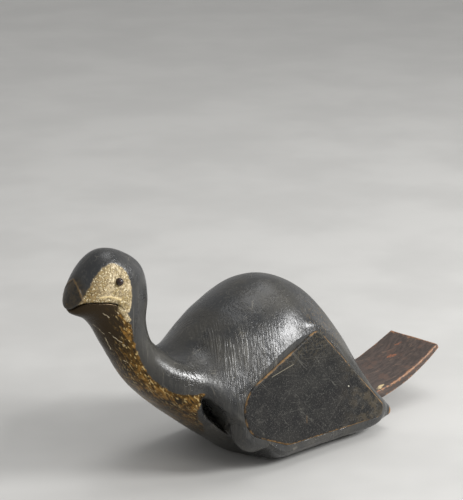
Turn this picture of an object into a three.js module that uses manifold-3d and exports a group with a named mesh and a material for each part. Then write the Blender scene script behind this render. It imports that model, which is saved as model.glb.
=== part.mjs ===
// A carved and lacquered wooden bird that rests on the flat of its belly.
// Millimetres, +X towards the beak, +Y to the bird's left, +Z up, origin on the resting face under the hump.
import * as THREE from 'three';
import { mergeVertices } from 'three/addons/utils/BufferGeometryUtils.js';
import Module from 'manifold-3d';

// Body block; the keel is planed off by the trim to make the resting face
const BODY_REAR_X = -60;
const BODY_LENGTH = 168;
const BODY_HEIGHT = 111.5;
const BODY_WIDTH = 112;
const KEEL_TRIM = 1.5;

// Sloping seam between the body and the neck block, from the breast foot up to the nape
const NAPE_SETBACK = 2;
const NAPE_Z = 72;
const BREAST_SETBACK = 58;
const BREAST_Z = 1;
const SEAM_WIDTH = 79;

// Swell of each flank beside the breast, under the front of the wing board
const FLANK_X = 59;
const FLANK_Z = 33;
const FLANK_SPACING = 72;
const FLANK_LENGTH = 24;
const FLANK_WIDTH = 20;
const FLANK_HEIGHT = 26;

// Neck sections, placed forward of the nape and up from it, tilted in degrees from level
const BREAST = { forward: -12, rise: -20, depth: 60, width: 65, tilt: 66 };
const COLLAR = { forward: 2.8, rise: -7.3, depth: 44.2, width: 56, tilt: 80 };
const LOWER_NECK = { forward: 18.2, rise: 7.8, depth: 32.4, width: 38, tilt: 106 };
const UPPER_NECK = { forward: 28.2, rise: 27, depth: 30.5, width: 32, tilt: 145 };

// Head
const HEAD_BACK_FORWARD = 12;
const CHIN_RISE = 40;
const HEAD_LENGTH = 60;
const HEAD_HEIGHT = 41;
const HEAD_WIDTH = 34;
const MOUTH_GAP = 1.2;
const MOUTH_DEPTH = 1.5;

// Bead eyes on shanks
const EYE_DIAMETER = 4.8;
const EYE_SHANK_DIAMETER = 1.8;
const EYE_SHANK_LENGTH = 6;

// Wing boards: the outer face lies in from the body's widest reach, draws in to the front by the taper and
// in to the top by the lean, both in degrees; corner circles are given from its middle
const WING_X = 18;
const WING_Z = 44.8;
const WING_INSET = 10;
const WING_TAPER = 1;
const WING_LEAN = 5;
const WING_THICKNESS = 6;
const WING_BEVEL = 1;
const WING_FRONT = { along: 39.2, up: -3, radius: 19.1 };
const WING_APEX = { along: -6.1, up: 28.9, radius: 7.9 };
const WING_TIP = { along: -57.7, up: -26.1, radius: 6.3 };
const WING_BELLY = { along: 19, up: -14.7, radius: 16.3 };
const WING_PEG_DIAMETER = 5;
const WING_PEG_LENGTH = 13;
const WING_PEG_GRIP = 3;
const WING_PEG_SPOTS = { front: { along: 32, up: 2 }, rear: { along: -24, up: -8 } };

// Tail board, level in its mortise and curving up behind the body
const TAIL_ROOT_Z = 14;
const TAIL_LENGTH = 72;
const TAIL_RISE = 20;
const TAIL_BEND_RISE = 1;
const TAIL_TENON = 26;
const TAIL_ROOT_WIDTH = 50;
const TAIL_TIP_WIDTH = 43;
const TAIL_ROOT_THICKNESS = 7;
const TAIL_TIP_THICKNESS = 4;
const TAIL_BEVEL = 0.8;
const TAIL_PEG_DIAMETER = 6;
const TAIL_PEG_LENGTH = 17;
const TAIL_PEG_SPACING = 26;

// Neck dowels, placed by their share of the seam
const DOWEL_DIAMETER = 10;
const DOWEL_LENGTH = 46;
const DOWEL_GRIP = 20;
const DOWEL_SLOPE = 25;
const DOWEL_SHARES = { lower: 0.48, upper: 0.76 };

// Clearance between pieces that touch
const FIT = 0.3;

// Fineness of the skins
const BODY_RINGS = 30;
const BODY_STEPS = 26;
const NECK_RINGS = 36;
const NECK_STEPS = 20;
const CURVE_STEPS = 11;
const ROUND_STEPS = 20;

const BLACK_LACQUER = { color: 0x26282a, roughness: 0.35 };
const WORN_GILT = { color: 0x3a2f22, roughness: 0.45 };
const RED_BROWN_WOOD = { color: 0x4a2a20, roughness: 0.5 };
const BARE_WOOD = { color: 0x9a7448, roughness: 0.7 };
const DARK_GLASS = { color: 0x140d0a, roughness: 0.08 };

const { smoothstep, lerp, clamp, degToRad } = THREE.MathUtils;
const QUARTER_TURN = Math.PI / 2;
const SIDES = { left: 1, right: -1 };
const wasm = await Module();
wasm.setup();

function toSolid(geometry) {
  const bare = new THREE.BufferGeometry();
  bare.setAttribute('position', geometry.getAttribute('position'));
  bare.setIndex(geometry.index);
  const merged = mergeVertices(bare, 1e-4);
  return new wasm.Manifold(new wasm.Mesh({
    numProp: 3,
    vertProperties: new Float32Array(merged.getAttribute('position').array),
    triVerts: new Uint32Array(merged.index.array),
  }));
}

function toGeometry(solid) {
  const cut = solid.getMesh();
  const geometry = new THREE.BufferGeometry();
  geometry.setAttribute('position', new THREE.BufferAttribute(cut.vertProperties, 3));
  geometry.setIndex(new THREE.BufferAttribute(cut.triVerts, 1));
  geometry.computeVertexNormals();
  return geometry;
}

function joined(blank, additions) {
  return toGeometry(additions.reduce((solid, addition) => solid.add(toSolid(addition)), toSolid(blank)));
}

function cutAway(blank, cutters) {
  return toGeometry(cutters.reduce((solid, cutter) => solid.subtract(toSolid(cutter)), toSolid(blank)));
}

// Smooth value, or point in the XZ plane, read at a station number that may lie between two stations
function valueAlong(values) {
  const curve = new THREE.SplineCurve(values.map((value, i) => new THREE.Vector2(i, value)));
  return (station) => curve.getPoint(station / (values.length - 1)).y;
}

function pointAlong(points) {
  const curve = new THREE.SplineCurve(points);
  return (station) => curve.getPoint(station / (points.length - 1));
}

// Closed section that stands on the line from low to high; halfWidth gives its reach to each side
function sectionRing(low, high, halfWidth, steps) {
  const left = [];
  for (let i = 0; i <= steps; i += 1) {
    const share = (1 - Math.cos((Math.PI * i) / steps)) / 2;
    const spot = low.clone().lerp(high, share);
    const reach = i === 0 || i === steps ? 0 : halfWidth(share);
    left.push(new THREE.Vector3(spot.x, reach, spot.y));
  }
  const right = left.slice(1, -1).reverse().map((p) => new THREE.Vector3(p.x, -p.y, p.z));
  return [...left, ...right];
}

// Skin over a row of section rings from the rear to the front, closed by a ladder of faces across each end
function loft(rings) {
  const size = rings[0].length;
  const last = (rings.length - 1) * size;
  const index = [];
  for (let k = 0; k < last; k += size) {
    for (let i = 0; i < size; i += 1) {
      const j = (i + 1) % size;
      index.push(k + i, k + j, k + size + j, k + i, k + size + j, k + size + i);
    }
  }
  for (let i = 0; i < size / 2; i += 1) {
    const opposite = (size - i) % size;
    const next = size - i - 1;
    if (next !== i + 1) index.push(i, next, i + 1, last + i, last + i + 1, last + next);
    if (opposite !== i) index.push(i, opposite, next, last + i, last + next, last + opposite);
  }
  const geometry = new THREE.BufferGeometry();
  const positions = rings.flat().flatMap((point) => point.toArray());
  geometry.setAttribute('position', new THREE.Float32BufferAttribute(positions, 3));
  geometry.setIndex(index);
  return geometry;
}

function placed(geometry, matrix) {
  return geometry.clone().applyMatrix4(matrix);
}

// Frame whose Z axis is the given direction, with its X axis level
function frameAt(origin, direction) {
  const z = direction.clone().normalize();
  const x = new THREE.Vector3(0, 0, 1).cross(z).normalize();
  const y = z.clone().cross(x);
  return new THREE.Matrix4().makeBasis(x, y, z).setPosition(origin);
}

function mirroredY(vector, side) {
  return new THREE.Vector3(vector.x, vector.y * side, vector.z);
}

function rod(diameter, length) {
  return new THREE.CylinderGeometry(diameter / 2, diameter / 2, length, ROUND_STEPS).rotateX(QUARTER_TURN);
}

// Flat outline extruded along Z to the given depth, with both edges eased by the bevel
function boardFrom(shape, depth, bevel) {
  return new THREE.ExtrudeGeometry(shape, {
    depth: depth - 2 * bevel,
    bevelEnabled: bevel > 0,
    bevelThickness: bevel,
    bevelSize: bevel,
    bevelOffset: -bevel,
    bevelSegments: 2,
    curveSegments: CURVE_STEPS,
  }).translate(0, 0, bevel);
}

// Outline in the XZ plane, extruded across Y about the middle plane
function boardAcross(shape, width, bevel) {
  return boardFrom(shape, width, bevel).rotateX(QUARTER_TURN).translate(0, width / 2, 0);
}

// Body, lofted from the seam back to the rear end, in shares of its length, height and width. Each section
// widens from the keel to its waist by the bilge power and closes over the crown by the full power.
const SEAM_SECTION = { waist: 0.6, full: 2.1, bilge: 0.7 };
const BODY_SECTIONS = [
  { crown: [0.88, 0.727], keel: [0.6, 0], half: 0.905, waist: 0.44, full: 1.55, bilge: 4 },
  { crown: [0.72, 0.89], keel: [0.53, 0], half: 0.935, waist: 0.37, full: 1.75, bilge: 4.8 },
  { crown: [0.512, 1], keel: [0.4345, 0], half: 0.92, waist: 0.32, full: 2.15, bilge: 5.2 },
  { crown: [0.345, 0.926], keel: [0.298, 0], half: 0.885, waist: 0.29, full: 2.3, bilge: 5.5 },
  { crown: [0.208, 0.712], keel: [0.1845, 0], half: 0.85, waist: 0.27, full: 2, bilge: 5.5 },
  { crown: [0.101, 0.428], keel: [0.089, 0.012], half: 0.82, waist: 0.33, full: 1.9, bilge: 4.5 },
  { crown: [0.003, 0.188], keel: [0.012, 0.06], half: 0.79, waist: 0.45, full: 2, bilge: 4 },
];
const KEEL_POWER = 2.2;

function bodyPoint([share, rise]) {
  const z = rise * (BODY_HEIGHT + KEEL_TRIM) - KEEL_TRIM;
  return new THREE.Vector2(BODY_REAR_X + share * BODY_LENGTH, z);
}

const bodyFrontX = BODY_REAR_X + BODY_LENGTH;
const nape = new THREE.Vector2(bodyFrontX - NAPE_SETBACK, NAPE_Z);
const breastFoot = new THREE.Vector2(bodyFrontX - BREAST_SETBACK, BREAST_Z);
const crownLine = pointAlong([nape, ...BODY_SECTIONS.map((section) => bodyPoint(section.crown))]);
const keelLine = pointAlong([breastFoot, ...BODY_SECTIONS.map((section) => bodyPoint(section.keel))]);
const bodyHalf = valueAlong([
  SEAM_WIDTH / 2,
  ...BODY_SECTIONS.map((section) => (section.half * BODY_WIDTH) / 2),
]);
const bodyLaw = (name) => valueAlong([SEAM_SECTION, ...BODY_SECTIONS].map((section) => section[name]));
const bodyWaist = bodyLaw('waist');
const bodyFull = bodyLaw('full');
const bodyBilge = bodyLaw('bilge');

function bodyHalfWidth(station, share) {
  const waist = bodyWaist(station);
  if (share >= waist) {
    const rise = (share - waist) / (1 - waist);
    return bodyHalf(station) * Math.sqrt(1 - rise ** bodyFull(station));
  }
  const fall = (waist - share) / waist;
  return bodyHalf(station) * (1 - fall ** bodyBilge(station)) ** (1 / KEEL_POWER);
}

function bodyBlank() {
  const seam = nape.clone().sub(breastFoot).normalize();
  const seamNormal = new THREE.Vector2(seam.y, -seam.x);
  const rings = [];
  for (let k = BODY_RINGS; k >= 0; k -= 1) {
    const station = (BODY_SECTIONS.length * k) / BODY_RINGS;
    const setBack = seamNormal.clone().multiplyScalar(k === 0 ? -FIT : 0);
    const low = keelLine(station).add(setBack);
    const high = crownLine(station).add(setBack);
    rings.push(sectionRing(low, high, (share) => bodyHalfWidth(station, share), BODY_STEPS));
  }
  return loft(rings);
}

function flankSwell(side) {
  const ball = new THREE.SphereGeometry(1 / 2, ROUND_STEPS, ROUND_STEPS / 2);
  ball.scale(FLANK_LENGTH, FLANK_WIDTH, FLANK_HEIGHT);
  return ball.translate(FLANK_X, (side * FLANK_SPACING) / 2, FLANK_Z);
}

// Neck and head, lofted from the seam to the beak tip; head points are shares of its length and height.
// Each section is widest at its waist, a share of its depth, and closes over the nape by the full power.
const THROAT_POINTS = [[0.642, -0.16], [0.758, 0.012], [0.875, 0.098], [0.958, 0.171], [0.985, 0.256]];
const CROWN_POINTS = [[0.013, 0.244], [0.117, 0.72], [0.517, 0.985], [0.845, 0.7], [0.99, 0.317]];
const HEAD_WIDTHS = [0.94, 1, 0.84, 0.44, 0.1];
const NECK_SECTIONS = [BREAST, COLLAR, LOWER_NECK, UPPER_NECK];
const NECK_STATIONS = NECK_SECTIONS.length + HEAD_WIDTHS.length;
const NECK_WAISTS = [0.56, 0.56, 0.37, 0.43, 0.5, 0.5, 0.5, 0.5, 0.5, 0.5];
const NECK_FULLNESS = [1.7, 1.7, 1.65, 1.85, 2, 2, 2, 2, 2, 2];
const FLARE_STATIONS = 1.2;
const HOLLOW = { loss: 0.6, from: 0.2, full: 0.36, easing: 0.48, to: 0.66 };
const HOLLOW_STATIONS = { full: 0.5, end: 1.5 };

function headPoint([share, rise]) {
  const x = nape.x + HEAD_BACK_FORWARD + share * HEAD_LENGTH;
  return new THREE.Vector2(x, nape.y + CHIN_RISE + rise * HEAD_HEIGHT);
}

function neckPoint({ forward, rise, depth, tilt }, end) {
  const middle = new THREE.Vector2(nape.x + forward, nape.y + rise);
  const reach = new THREE.Vector2((end * depth) / 2, 0).rotateAround(new THREE.Vector2(), degToRad(tilt));
  return middle.add(reach);
}

const throatLine = pointAlong([
  breastFoot,
  ...NECK_SECTIONS.map((section) => neckPoint(section, -1)),
  ...THROAT_POINTS.map(headPoint),
]);
const napeLine = pointAlong([
  nape,
  ...NECK_SECTIONS.map((section) => neckPoint(section, 1)),
  ...CROWN_POINTS.map(headPoint),
]);
const neckHalf = valueAlong([
  BREAST.width / 2,
  ...NECK_SECTIONS.map((section) => section.width / 2),
  ...HEAD_WIDTHS.map((share) => (share * HEAD_WIDTH) / 2),
]);

const neckWaist = valueAlong(NECK_WAISTS);
const neckFull = valueAlong(NECK_FULLNESS);

function neckRound(station, share) {
  const waist = neckWaist(station);
  if (share >= waist) {
    const rise = (share - waist) / (1 - waist);
    return neckHalf(station) * Math.sqrt(1 - rise ** neckFull(station));
  }
  const fall = (waist - share) / waist;
  return neckHalf(station) * Math.sqrt(1 - fall ** 2);
}

// At the seam the neck spreads into the shoulders, with a hollow under each shoulder beside the breast
function neckHalfWidth(station, share) {
  const narrowing = smoothstep(station, 0, FLARE_STATIONS);
  const spread = lerp(bodyHalfWidth(0, share), neckRound(station, share), narrowing);
  const closing = 1 - smoothstep(share, HOLLOW.easing, HOLLOW.to);
  const across = smoothstep(share, HOLLOW.from, HOLLOW.full) * closing;
  const fading = 1 - smoothstep(station, HOLLOW_STATIONS.full, HOLLOW_STATIONS.end);
  return spread * (1 - HOLLOW.loss * across * fading);
}

function neckLoft(grow, first, last, count) {
  const thinnest = 0.1;
  const rings = [];
  for (let k = 0; k <= count; k += 1) {
    const station = lerp(first, last, k / count);
    const low = throatLine(station);
    const high = napeLine(station);
    const stretch = high.clone().sub(low).setLength(grow);
    const half = (share) => Math.max(neckHalfWidth(station, share) + grow, thinnest);
    rings.push(sectionRing(low.sub(stretch), high.add(stretch), half, NECK_STEPS));
  }
  return loft(rings);
}

function neckBlank(grow) {
  return neckLoft(grow, 0, NECK_STATIONS, NECK_RINGS);
}

// Point on the left side of the neck and head, and the direction that the surface faces there
function neckSpot(station, share) {
  const spot = throatLine(station).lerp(napeLine(station), share);
  return new THREE.Vector3(spot.x, neckHalfWidth(station, share), spot.y);
}

function neckFacing(station, share) {
  const step = 0.02;
  const forward = neckSpot(station + step, share).sub(neckSpot(station - step, share));
  const upward = neckSpot(station, share + step).sub(neckSpot(station, share - step));
  return upward.cross(forward).normalize();
}

// Mouth: a groove of even depth that follows the arched mouth line round the beak
const MOUTH_LINE = [[1.03, 0.19], [0.867, 0.293], [0.717, 0.317], [0.583, 0.28], [0.467, 0.146]];
const MOUTH_CORE = { first: 4, last: 8.7, rings: 20 };

function mouthCutter() {
  const line = pointAlong(MOUTH_LINE.map(headPoint));
  const upper = [];
  const lower = [];
  for (let k = 0; k <= CURVE_STEPS; k += 1) {
    const spot = line(((MOUTH_LINE.length - 1) * k) / CURVE_STEPS);
    upper.push(new THREE.Vector2(spot.x, spot.y + MOUTH_GAP / 2));
    lower.unshift(new THREE.Vector2(spot.x, spot.y - MOUTH_GAP / 2));
  }
  const sheet = boardAcross(new THREE.Shape([...upper, ...lower]), 2 * HEAD_WIDTH, 0);
  return cutAway(sheet, [neckLoft(-MOUTH_DEPTH, MOUTH_CORE.first, MOUTH_CORE.last, MOUTH_CORE.rings)]);
}

// Bead eye on its shank, turned about Z, with the bead's middle at the surface of the cheek
const EYE_SPOT = { station: 6.55, share: 0.6 };

function eyeBead(grow) {
  const radius = EYE_DIAMETER / 2 + grow;
  const shank = EYE_SHANK_DIAMETER / 2 + grow;
  const foot = -EYE_SHANK_LENGTH - grow;
  const start = Math.asin(shank / radius);
  const steps = ROUND_STEPS / 2;
  const profile = [new THREE.Vector2(0, foot), new THREE.Vector2(shank, foot)];
  for (let k = 0; k < steps; k += 1) {
    const angle = lerp(start, Math.PI, k / steps);
    profile.push(new THREE.Vector2(radius * Math.sin(angle), -radius * Math.cos(angle)));
  }
  profile.push(new THREE.Vector2(0, radius));
  return new THREE.LatheGeometry(profile, ROUND_STEPS).rotateX(QUARTER_TURN);
}

function eyeFrame(side) {
  const spot = neckSpot(EYE_SPOT.station, EYE_SPOT.share);
  const facing = neckFacing(EYE_SPOT.station, EYE_SPOT.share);
  return frameAt(mirroredY(spot, side), mirroredY(facing, side));
}

// Outline round a row of corner circles, taken counterclockwise, with straight edges between them
function roundedOutline(circles) {
  const normals = circles.map((circle, i) => {
    const next = circles[(i + 1) % circles.length];
    const run = new THREE.Vector2(next.x - circle.x, next.y - circle.y);
    const lean = Math.asin((circle.radius - next.radius) / run.length());
    return run.angle() - QUARTER_TURN + lean;
  });
  const shape = new THREE.Shape();
  circles.forEach((circle, i) => {
    const before = normals[(i + circles.length - 1) % circles.length];
    shape.absarc(circle.x, circle.y, circle.radius, before, normals[i], false);
  });
  return shape;
}

// Wing boards: the outer face lies in the frame's XY plane, with the board behind it
function wingFrame(side) {
  const face = new THREE.Vector3(WING_X, BODY_WIDTH / 2 - WING_INSET, WING_Z);
  const outward = new THREE.Vector3(Math.tan(degToRad(WING_TAPER)), 1, Math.tan(degToRad(WING_LEAN)));
  return frameAt(mirroredY(face, side), mirroredY(outward, side));
}

function wingOutline(side, grow) {
  const corners = [WING_FRONT, WING_APEX, WING_TIP, WING_BELLY];
  const circles = corners.map((corner) => (
    { x: -side * corner.along, y: corner.up, radius: corner.radius + grow }
  ));
  return roundedOutline(side > 0 ? circles.reverse() : circles);
}

function wingBoard(side) {
  return boardFrom(wingOutline(side, 0), WING_THICKNESS, WING_BEVEL).translate(0, 0, -WING_THICKNESS);
}

function wingSeat(side) {
  const floor = -WING_THICKNESS - FIT;
  const cutter = boardFrom(wingOutline(side, FIT), BODY_WIDTH / 2, 0).translate(0, 0, floor);
  return placed(cutter, wingFrame(side));
}

function wingPegSpot(side, { along, up }) {
  const middle = WING_PEG_GRIP - WING_THICKNESS - WING_PEG_LENGTH / 2;
  return new THREE.Matrix4().makeTranslation(-side * along, up, middle);
}

function wingPegHole(side, spot) {
  return placed(rod(WING_PEG_DIAMETER + 2 * FIT, WING_PEG_LENGTH + 2 * FIT), wingPegSpot(side, spot));
}

// Tail board, with its thickness and width tapering from the root to the tip
function tailEdges(grow) {
  const root = new THREE.Vector2(BODY_REAR_X, TAIL_ROOT_Z);
  const tip = new THREE.Vector2(BODY_REAR_X - TAIL_LENGTH, TAIL_ROOT_Z + TAIL_RISE);
  const bend = new THREE.Vector2(BODY_REAR_X - TAIL_LENGTH / 2, TAIL_ROOT_Z + TAIL_BEND_RISE);
  const curve = new THREE.QuadraticBezierCurve(root, bend, tip);
  const tenonEnd = BODY_REAR_X + TAIL_TENON + grow;
  const tenonHalf = TAIL_ROOT_THICKNESS / 2 + grow;
  const upper = [new THREE.Vector2(tenonEnd, TAIL_ROOT_Z + tenonHalf)];
  const lower = [new THREE.Vector2(tenonEnd, TAIL_ROOT_Z - tenonHalf)];
  for (let k = 0; k <= CURVE_STEPS; k += 1) {
    const spot = curve.getPoint(k / CURVE_STEPS);
    const tangent = curve.getTangent(k / CURVE_STEPS);
    const half = lerp(TAIL_ROOT_THICKNESS, TAIL_TIP_THICKNESS, k / CURVE_STEPS) / 2 + grow;
    upper.unshift(new THREE.Vector2(spot.x + tangent.y * half, spot.y - tangent.x * half));
    lower.push(new THREE.Vector2(spot.x - tangent.y * half, spot.y + tangent.x * half));
  }
  return new THREE.Shape([...lower, ...upper]);
}

function tailBoard(grow, bevel) {
  const geometry = boardAcross(tailEdges(grow), TAIL_ROOT_WIDTH + 2 * grow, bevel);
  const position = geometry.getAttribute('position');
  for (let i = 0; i < position.count; i += 1) {
    const along = clamp((BODY_REAR_X - position.getX(i)) / TAIL_LENGTH, 0, 1);
    position.setY(i, position.getY(i) * lerp(1, TAIL_TIP_WIDTH / TAIL_ROOT_WIDTH, along));
  }
  return geometry;
}

function tailPegSpot(side) {
  const spot = new THREE.Vector3(BODY_REAR_X + TAIL_TENON / 2, (side * TAIL_PEG_SPACING) / 2, TAIL_ROOT_Z);
  return new THREE.Matrix4().setPosition(spot);
}

function tailPegHole(side) {
  return placed(rod(TAIL_PEG_DIAMETER + 2 * FIT, TAIL_PEG_LENGTH + 2 * FIT), tailPegSpot(side));
}

// Neck dowels: parallel, sloping up from the body into the neck through the seam
function dowelFrame(share) {
  const slope = degToRad(DOWEL_SLOPE);
  const direction = new THREE.Vector3(Math.cos(slope), 0, Math.sin(slope));
  const seam = breastFoot.clone().lerp(nape, share);
  const middle = new THREE.Vector3(seam.x, 0, seam.y);
  middle.addScaledVector(direction, DOWEL_GRIP - DOWEL_LENGTH / 2);
  return frameAt(middle, direction);
}

function dowelHole(share) {
  return placed(rod(DOWEL_DIAMETER + 2 * FIT, DOWEL_LENGTH + 2 * FIT), dowelFrame(share));
}

function piece(name, geometry, finish, matrix = new THREE.Matrix4()) {
  const mesh = new THREE.Mesh(geometry, new THREE.MeshStandardMaterial({ metalness: 0, ...finish }));
  mesh.name = name;
  mesh.applyMatrix4(matrix);
  return mesh;
}

const sides = Object.entries(SIDES);
const pegSpots = Object.entries(WING_PEG_SPOTS);
const dowels = Object.entries(DOWEL_SHARES);
const dowelHoles = dowels.map(([, share]) => dowelHole(share));
const tailPegHoles = sides.map(([, side]) => tailPegHole(side));
const wingPegHoles = (side) => pegSpots.map(([, spot]) => wingPegHole(side, spot));
const belowTable = new THREE.BoxGeometry(2 * BODY_LENGTH, 2 * BODY_WIDTH, BODY_HEIGHT);
belowTable.translate(0, 0, -BODY_HEIGHT / 2);

const bodyCutters = [belowTable, neckBlank(FIT), ...dowelHoles, tailBoard(FIT, 0), ...tailPegHoles];
const neckCutters = [mouthCutter(), ...dowelHoles];
sides.forEach(([, side]) => {
  bodyCutters.push(wingSeat(side), ...wingPegHoles(side).map((hole) => placed(hole, wingFrame(side))));
  neckCutters.push(placed(eyeBead(FIT), eyeFrame(side)));
});

const bird = new THREE.Group();
const flanks = sides.map(([, side]) => flankSwell(side));
bird.add(piece('body', cutAway(joined(bodyBlank(), flanks), bodyCutters), BLACK_LACQUER));
bird.add(piece('neck_and_head', cutAway(neckBlank(0), neckCutters), WORN_GILT));
bird.add(piece('tail_board', cutAway(tailBoard(0, TAIL_BEVEL), tailPegHoles), RED_BROWN_WOOD));
dowels.forEach(([name, share]) => {
  bird.add(piece(`${name}_neck_dowel`, rod(DOWEL_DIAMETER, DOWEL_LENGTH), BARE_WOOD, dowelFrame(share)));
});
sides.forEach(([name, side]) => {
  const frame = wingFrame(side);
  bird.add(piece(`${name}_wing`, cutAway(wingBoard(side), wingPegHoles(side)), BLACK_LACQUER, frame));
  pegSpots.forEach(([place, spot]) => {
    const matrix = frame.clone().multiply(wingPegSpot(side, spot));
    const peg = rod(WING_PEG_DIAMETER, WING_PEG_LENGTH);
    bird.add(piece(`${name}_wing_${place}_peg`, peg, BARE_WOOD, matrix));
  });
  const tailPeg = rod(TAIL_PEG_DIAMETER, TAIL_PEG_LENGTH);
  bird.add(piece(`${name}_tail_peg`, tailPeg, BARE_WOOD, tailPegSpot(side)));
  bird.add(piece(`${name}_eye`, eyeBead(0), DARK_GLASS, eyeFrame(side)));
});

export default bird;
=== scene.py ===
import math

import bmesh
import bpy
import numpy as np
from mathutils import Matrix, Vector


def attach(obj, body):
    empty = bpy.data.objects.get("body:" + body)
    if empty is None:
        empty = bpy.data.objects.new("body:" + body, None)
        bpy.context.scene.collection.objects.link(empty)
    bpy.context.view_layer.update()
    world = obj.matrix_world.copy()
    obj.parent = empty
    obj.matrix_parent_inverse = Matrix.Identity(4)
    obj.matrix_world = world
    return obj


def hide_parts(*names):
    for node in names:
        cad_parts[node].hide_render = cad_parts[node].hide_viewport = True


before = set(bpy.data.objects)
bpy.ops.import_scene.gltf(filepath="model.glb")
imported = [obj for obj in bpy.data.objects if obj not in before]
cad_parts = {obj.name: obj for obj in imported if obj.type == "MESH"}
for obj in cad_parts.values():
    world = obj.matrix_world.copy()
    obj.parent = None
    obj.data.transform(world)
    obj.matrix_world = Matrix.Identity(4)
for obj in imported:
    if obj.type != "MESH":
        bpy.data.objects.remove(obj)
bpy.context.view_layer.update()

# A carved, lacquered and gilded wooden bird. +X points to the beak, +Y to the bird's left and +Z up from
# the resting face. Lengths are in millimetres here, and in metres once a mesh is made.
MM = 0.001

# Body block and its sloping seam with the neck
BODY_REAR_X = -60
BODY_LENGTH = 168
BODY_HEIGHT = 111.5
BODY_WIDTH = 112
KEEL_TRIM = 1.5
NAPE = (106, 72)
BREAST_FOOT = (50, 1)
SEAM_WIDTH = 79

# Body sections behind the seam, in shares of its length, height and width
SEAM_SECTION = {"waist": 0.6, "full": 2.1, "bilge": 0.7}
BODY_SECTIONS = [
    {"crown": (0.88, 0.727), "keel": (0.6, 0), "half": 0.905, "waist": 0.44, "full": 1.55, "bilge": 4},
    {"crown": (0.72, 0.89), "keel": (0.53, 0), "half": 0.935, "waist": 0.37, "full": 1.75, "bilge": 4.8},
    {"crown": (0.512, 1), "keel": (0.4345, 0), "half": 0.92, "waist": 0.32, "full": 2.15, "bilge": 5.2},
    {"crown": (0.345, 0.926), "keel": (0.298, 0), "half": 0.885, "waist": 0.29, "full": 2.3, "bilge": 5.5},
    {"crown": (0.208, 0.712), "keel": (0.1845, 0), "half": 0.85, "waist": 0.27, "full": 2, "bilge": 5.5},
    {"crown": (0.101, 0.428), "keel": (0.089, 0.012), "half": 0.82, "waist": 0.33, "full": 1.9, "bilge": 4.5},
    {"crown": (0.003, 0.188), "keel": (0.012, 0.06), "half": 0.79, "waist": 0.45, "full": 2, "bilge": 4},
]
KEEL_POWER = 2.2

# Swell of each flank beside the breast, under the front of the wing board; the left one is fuller
FLANK_MIDDLE = (59, 36, 33)
FLANK_SIZES = {1: (38, 20, 42), -1: (24, 20, 26)}

# Neck sections, placed forward of the nape and up from it, tilted in degrees from level
NECK_SECTIONS = [
    {"forward": -12, "rise": -20, "depth": 60, "width": 65, "tilt": 66, "waist": 0.56, "full": 1.7},
    {"forward": 2.8, "rise": -7.3, "depth": 44.2, "width": 56, "tilt": 80, "waist": 0.37, "full": 1.65},
    {"forward": 18.2, "rise": 7.8, "depth": 32.4, "width": 38, "tilt": 106, "waist": 0.43, "full": 1.85},
    {"forward": 28.2, "rise": 27, "depth": 30.5, "width": 32, "tilt": 145, "waist": 0.5, "full": 2},
]
HEAD_BACK_FORWARD = 12
CHIN_RISE = 40
HEAD_LENGTH = 60
HEAD_HEIGHT = 41
HEAD_WIDTH = 34
THROAT_POINTS = [(0.642, -0.16), (0.758, 0.012), (0.875, 0.098), (0.958, 0.171), (0.985, 0.256)]
CROWN_POINTS = [(0.013, 0.244), (0.117, 0.72), (0.517, 0.985), (0.845, 0.7), (0.99, 0.317)]
HEAD_WIDTHS = [0.94, 1, 0.84, 0.44, 0.1]
HEAD_WAIST = 0.5
HEAD_FULLNESS = 2
NECK_STATIONS = len(NECK_SECTIONS) + len(HEAD_WIDTHS)
FLARE_STATIONS = 1.2
HOLLOW = {"loss": 0.6, "from": 0.2, "full": 0.36, "easing": 0.48, "to": 0.66, "stations": (0.5, 1.5)}
EYE_STATION = 6.55
EYE_SHARE = 0.6
EYE_DIAMETER = 4.8
EYE_SHANK_DIAMETER = 2
EYE_SHANK_LENGTH = 5

# Lines of the face and edges of the paint, by X and Z on the side of the bird
MOUTH = [(176.3, 120.7), (171, 125), (160.5, 124.4), (151, 122), (144.7, 115.6)]
LIP = [(163, 128.2), (157, 128), (149.5, 124.8)]
MOUTH_CORNER = [(149, 119.6), (144.8, 114), (142.6, 110.8)]
CHEEK = [(151, 146), (143, 140), (141, 129), (143.5, 114), (158, 116), (173, 121), (168.5, 133),
         (160, 142.7)]
# The gilt edge bends back round the pocket beside the breast, so black lacquer covers the pocket's front
# wall, partly as its paint and partly as painted shade of the pocket.
GILT_EDGE = [(144.7, 115.6), (140.5, 106.5), (136.6, 91), (127.6, 73), (115.5, 61.3), (106, 58.6),
             (96, 57.2), (99, 49), (95, 40.2), (85, 30), (52, -4)]
GILT_BAND = (2, 11)
BELOW_THE_BREAST = [(60, -20), (200, -21), (201, 118)]
BEAK_RIDGE = [(171, 0, 138.2), (172.2, 4.6, 134.9), (172.3, 7.2, 131.1), (171.5, 8.5, 126.9)]

# Wing boards: corner circles on the outer face, which lies in from the body's widest reach
WING_MIDDLE = (18, 46, 44.8)
WING_TAPER = 1
WING_LEAN = 5
WING_THICKNESS = 6
WING_CIRCLES = [(39.2, -3, 19.1), (-6.1, 28.9, 7.9), (-57.7, -26.1, 6.3), (19, -14.7, 16.3)]

# Tail board
TAIL_ROOT_Z = 14
TAIL_LENGTH = 72
TAIL_RISE = 20
TAIL_BEND_RISE = 1
TAIL_ROOT_WIDTH = 50
TAIL_TIP_WIDTH = 43
TAIL_ROOT_THICKNESS = 7
TAIL_TIP_THICKNESS = 4
TAIL_TENON = 26

# Camera, in the place that gives the picture's view, with its turn and pitch in degrees
CAMERA_SPOT = (889, 875, 466)
CAMERA_TURN = 44
CAMERA_PITCH = 15.377
FOCAL_PIXELS = 2031
IMAGE_HEIGHT = 500
SENSOR = 36

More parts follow.
